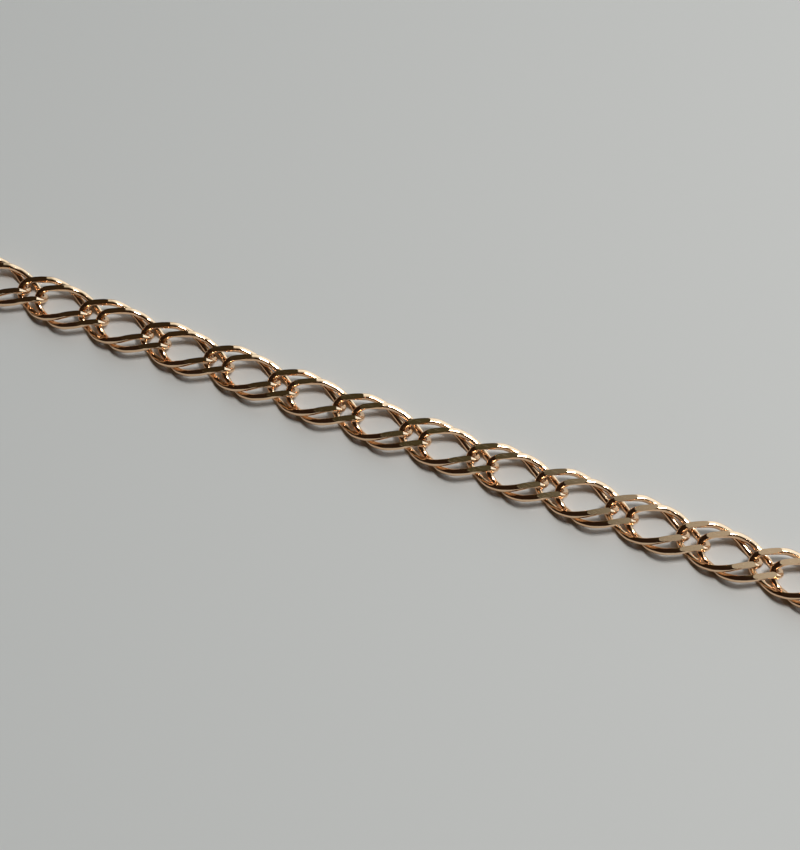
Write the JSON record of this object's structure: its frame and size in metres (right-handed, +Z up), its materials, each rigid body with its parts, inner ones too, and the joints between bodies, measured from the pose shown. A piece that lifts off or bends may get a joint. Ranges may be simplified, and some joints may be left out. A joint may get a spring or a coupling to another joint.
{
  "type": "pocket watch chain",
  "caption": "Flat double curb watch chain of woven rhombus links in pairs, with a T-bar at one end and a swivel hook with a sprung gate at the other.",
  "frame": {"origin": "bottom centre of the straight chain's box, on the surface that it lies on", "axes": "+X along the chain from the T-bar to the hook, +Y across the chain in the surface, +Z up"},
  "size_m": [0.2076, 0.03, 0.003],
  "materials": {
    "link_gold": "polished rose gold with flat diamond-cut faces",
    "rose_gold": "polished rose gold",
    "ring_gold": "polished, a little paler rose gold",
    "spring_steel": "bright spring steel"
  },
  "bodies": {
    "bar": {"t_bar": "rose_gold"},
    "bar_ring": {"bar_jump_ring": "ring_gold"},
    "link_01": {"link_01": "link_gold"},
    "link_02": {"link_02": "link_gold"},
    "link_03": {"link_03": "link_gold"},
    "link_04": {"link_04": "link_gold"},
    "link_05": {"link_05": "link_gold"},
    "link_06": {"link_06": "link_gold"},
    "link_07": {"link_07": "link_gold"},
    "link_08": {"link_08": "link_gold"},
    "link_09": {"link_09": "link_gold"},
    "link_10": {"link_10": "link_gold"},
    "link_11": {"link_11": "link_gold"},
    "link_12": {"link_12": "link_gold"},
    "link_13": {"link_13": "link_gold"},
    "link_14": {"link_14": "link_gold"},
    "link_15": {"link_15": "link_gold"},
    "link_16": {"link_16": "link_gold"},
    "link_17": {"link_17": "link_gold"},
    "link_18": {"link_18": "link_gold"},
    "link_19": {"link_19": "link_gold"},
    "link_20": {"link_20": "link_gold"},
    "link_21": {"link_21": "link_gold"},
    "link_22": {"link_22": "link_gold"},
    "link_23": {"link_23": "link_gold"},
    "link_24": {"link_24": "link_gold"},
    "link_25": {"link_25": "link_gold"},
    "link_26": {"link_26": "link_gold"},
    "link_27": {"link_27": "link_gold"},
    "link_28": {"link_28": "link_gold"},
    "link_29": {"link_29": "link_gold"},
    "link_30": {"link_30": "link_gold"},
    "link_31": {"link_31": "link_gold"},
    "link_32": {"link_32": "link_gold"},
    "link_33": {"link_33": "link_gold"},
    "link_34": {"link_34": "link_gold"},
    "link_35": {"link_35": "link_gold"},
    "link_36": {"link_36": "link_gold"},
    "link_37": {"link_37": "link_gold"},
    "link_38": {"link_38": "link_gold"},
    "link_39": {"link_39": "link_gold"},
    "link_40": {"link_40": "link_gold"},
    "link_41": {"link_41": "link_gold"},
    "link_42": {"link_42": "link_gold"},
    "link_43": {"link_43": "link_gold"},
    "link_44": {"link_44": "link_gold"},
    "hook_ring": {"hook_jump_ring": "ring_gold"},
    "swivel": {"swivel_post": "ring_gold"},
    "hook": {"hook_body": "rose_gold", "gate_pin": "spring_steel", "gate_spring": "spring_steel"},
    "gate": {"hook_gate": "rose_gold"}
  },
  "joints": [
    {"name": "bar_swing", "type": "hinge", "parent": "bar", "child": "bar_ring", "pos_m": [-0.09937, 0, 0.0015], "axis": [0, 1, 0], "range_deg": [-40, 40]},
    {"name": "bar_ring_bend", "type": "hinge", "parent": "bar_ring", "child": "link_01", "pos_m": [-0.09675, 0, 0.0011], "axis": [0, 1, 0], "range_deg": [-20, 20]},
    {"name": "hook_ring_bend", "type": "hinge", "parent": "link_44", "child": "hook_ring", "pos_m": [0.08125, 0, 0.0011], "axis": [0, 1, 0], "range_deg": [-20, 20]},
    {"name": "hook_swing", "type": "hinge", "parent": "hook_ring", "child": "swivel", "pos_m": [0.08387, 0, 0.0015], "axis": [0, 1, 0], "range_deg": [-40, 40]},
    {"name": "swivel_turn", "type": "hinge", "parent": "swivel", "child": "hook", "pos_m": [0.08687, 0, 0.0015], "axis": [1, 0, 0], "continuous": true},
    {"name": "gate_hinge", "type": "hinge", "parent": "hook", "child": "gate", "pos_m": [0.0911, 0.0031, 0.0015], "axis": [0, 0, 1], "range_deg": [-35, 0], "stiffness_Nm_per_rad": 0.004, "springref_deg": 4.58},
    {"name": "sway_01_02", "type": "hinge", "parent": "link_01", "child": "link_02", "pos_m": [-0.09175, 0, 0.001], "axis": [0, 0, 1], "range_deg": [-3, 3]},
    {"name": "drape_02_03", "type": "hinge", "parent": "link_02", "child": "link_03", "pos_m": [-0.08775, 0, 0.001], "axis": [0, 1, 0], "range_deg": [-12, 12]},
    {"name": "sway_03_04", "type": "hinge", "parent": "link_03", "child": "link_04", "pos_m": [-0.08375, 0, 0.001], "axis": [0, 0, 1], "range_deg": [-3, 3]},
    {"name": "drape_04_05", "type": "hinge", "parent": "link_04", "child": "link_05", "pos_m": [-0.07975, 0, 0.001], "axis": [0, 1, 0], "range_deg": [-12, 12]},
    {"name": "sway_05_06", "type": "hinge", "parent": "link_05", "child": "link_06", "pos_m": [-0.07575, 0, 0.001], "axis": [0, 0, 1], "range_deg": [-3, 3]},
    {"name": "drape_06_07", "type": "hinge", "parent": "link_06", "child": "link_07", "pos_m": [-0.07175, 0, 0.001], "axis": [0, 1, 0], "range_deg": [-12, 12]},
    {"name": "sway_07_08", "type": "hinge", "parent": "link_07", "child": "link_08", "pos_m": [-0.06775, 0, 0.001], "axis": [0, 0, 1], "range_deg": [-3, 3]},
    {"name": "drape_08_09", "type": "hinge", "parent": "link_08", "child": "link_09", "pos_m": [-0.06375, 0, 0.001], "axis": [0, -1, 0], "range_deg": [-12, 12]},
    {"name": "sway_09_10", "type": "hinge", "parent": "link_09", "child": "link_10", "pos_m": [-0.05975, 0, 0.001], "axis": [0, 0, -1], "range_deg": [-3, 3]},
    {"name": "drape_10_11", "type": "hinge", "parent": "link_10", "child": "link_11", "pos_m": [-0.05575, 0, 0.001], "axis": [0, -1, 0], "range_deg": [-12, 12]},
    {"name": "sway_11_12", "type": "hinge", "parent": "link_11", "child": "link_12", "pos_m": [-0.05175, 0, 0.001], "axis": [0, 0, -1], "range_deg": [-3, 3]},
    {"name": "drape_12_13", "type": "hinge", "parent": "link_12", "child": "link_13", "pos_m": [-0.04775, 0, 0.001], "axis": [0, -1, 0], "range_deg": [-12, 12]},
    {"name": "sway_13_14", "type": "hinge", "parent": "link_13", "child": "link_14", "pos_m": [-0.04375, 0, 0.001], "axis": [0, 0, -1], "range_deg": [-3, 3]},
    {"name": "drape_14_15", "type": "hinge", "parent": "link_14", "child": "link_15", "pos_m": [-0.03975, 0, 0.001], "axis": [0, -1, 0], "range_deg": [-12, 12]},
    {"name": "sway_15_16", "type": "hinge", "parent": "link_15", "child": "link_16", "pos_m": [-0.03575, 0, 0.001], "axis": [0, 0, -1], "range_deg": [-3, 3]},
    {"name": "drape_16_17", "type": "hinge", "parent": "link_16", "child": "link_17", "pos_m": [-0.03175, 0, 0.001], "axis": [0, -1, 0], "range_deg": [-12, 12]},
    {"name": "sway_17_18", "type": "hinge", "parent": "link_17", "child": "link_18", "pos_m": [-0.02775, 0, 0.001], "axis": [0, 0, -1], "range_deg": [-3, 3]},
    {"name": "drape_18_19", "type": "hinge", "parent": "link_18", "child": "link_19", "pos_m": [-0.02375, 0, 0.001], "axis": [0, -1, 0], "range_deg": [-12, 12]},
    {"name": "sway_19_20", "type": "hinge", "parent": "link_19", "child": "link_20", "pos_m": [-0.01975, 0, 0.001], "axis": [0, 0, -1], "range_deg": [-3, 3]},
    {"name": "drape_20_21", "type": "hinge", "parent": "link_20", "child": "link_21", "pos_m": [-0.01575, 0, 0.001], "axis": [0, 1, 0], "range_deg": [-12, 12]},
    {"name": "sway_21_22", "type": "hinge", "parent": "link_21", "child": "link_22", "pos_m": [-0.01175, 0, 0.001], "axis": [0, 0, -1], "range_deg": [-3, 3]},
    {"name": "drape_22_23", "type": "hinge", "parent": "link_22", "child": "link_23", "pos_m": [-0.00775, 0, 0.001], "axis": [0, 1, 0], "range_deg": [-12, 12]},
    {"name": "sway_23_24", "type": "hinge", "parent": "link_23", "child": "link_24", "pos_m": [-0.00375, 0, 0.001], "axis": [0, 0, -1], "range_deg": [-3, 3]},
    {"name": "drape_24_25", "type": "hinge", "parent": "link_24", "child": "link_25", "pos_m": [0.00025, 0, 0.001], "axis": [0, 1, 0], "range_deg": [-12, 12]},
    {"name": "sway_25_26", "type": "hinge", "parent": "link_25", "child": "link_26", "pos_m": [0.00425, 0, 0.001], "axis": [0, 0, 1], "range_deg": [-3, 3]},
    {"name": "drape_26_27", "type": "hinge", "parent": "link_26", "child": "link_27", "pos_m": [0.00825, 0, 0.001], "axis": [0, 1, 0], "range_deg": [-12, 12]},
    {"name": "sway_27_28", "type": "hinge", "parent": "link_27", "child": "link_28", "pos_m": [0.01225, 0, 0.001], "axis": [0, 0, 1], "range_deg": [-3, 3]},
    {"name": "drape_28_29", "type": "hinge", "parent": "link_28", "child": "link_29", "pos_m": [0.01625, 0, 0.001], "axis": [0, 1, 0], "range_deg": [-12, 12]},
    {"name": "sway_29_30", "type": "hinge", "parent": "link_29", "child": "link_30", "pos_m": [0.02025, 0, 0.001], "axis": [0, 0, 1], "range_deg": [-3, 3]},
    {"name": "drape_30_31", "type": "hinge", "parent": "link_30", "child": "link_31", "pos_m": [0.02425, 0, 0.001], "axis": [0, 1, 0], "range_deg": [-12, 12]},
    {"name": "sway_31_32", "type": "hinge", "parent": "link_31", "child": "link_32", "pos_m": [0.02825, 0, 0.001], "axis": [0, 0, 1], "range_deg": [-3, 3]},
    {"name": "drape_32_33", "type": "hinge", "parent": "link_32", "child": "link_33", "pos_m": [0.03225, 0, 0.001], "axis": [0, -1, 0], "range_deg": [-12, 12]},
    {"name": "sway_33_34", "type": "hinge", "parent": "link_33", "child": "link_34", "pos_m": [0.03625, 0, 0.001], "axis": [0, 0, 1], "range_deg": [-3, 3]},
    {"name": "drape_34_35", "type": "hinge", "parent": "link_34", "child": "link_35", "pos_m": [0.04025, 0, 0.001], "axis": [0, -1, 0], "range_deg": [-12, 12]},
    {"name": "sway_35_36", "type": "hinge", "parent": "link_35", "child": "link_36", "pos_m": [0.04425, 0, 0.001], "axis": [0, 0, 1], "range_deg": [-3, 3]},
    {"name": "drape_36_37", "type": "hinge", "parent": "link_36", "child": "link_37", "pos_m": [0.04825, 0, 0.001], "axis": [0, -1, 0], "range_deg": [-12, 12]},
    {"name": "sway_37_38", "type": "hinge", "parent": "link_37", "child": "link_38", "pos_m": [0.05225, 0, 0.001], "axis": [0, 0, 1], "range_deg": [-3, 3]},
    {"name": "drape_38_39", "type": "hinge", "parent": "link_38", "child": "link_39", "pos_m": [0.05625, 0, 0.001], "axis": [0, -1, 0], "range_deg": [-12, 12]},
    {"name": "sway_39_40", "type": "hinge", "parent": "link_39", "child": "link_40", "pos_m": [0.06025, 0, 0.001], "axis": [0, 0, 1], "range_deg": [-3, 3]},
    {"name": "drape_40_41", "type": "hinge", "parent": "link_40", "child": "link_41", "pos_m": [0.06425, 0, 0.001], "axis": [0, -1, 0], "range_deg": [-12, 12]},
    {"name": "sway_41_42", "type": "hinge", "parent": "link_41", "child": "link_42", "pos_m": [0.06825, 0, 0.001], "axis": [0, 0, -1], "range_deg": [-3, 3]},
    {"name": "drape_42_43", "type": "hinge", "parent": "link_42", "child": "link_43", "pos_m": [0.07225, 0, 0.001], "axis": [0, -1, 0], "range_deg": [-12, 12]},
    {"name": "sway_43_44", "type": "hinge", "parent": "link_43", "child": "link_44", "pos_m": [0.07625, 0, 0.001], "axis": [0, 0, -1], "range_deg": [-3, 3]}
  ]
}
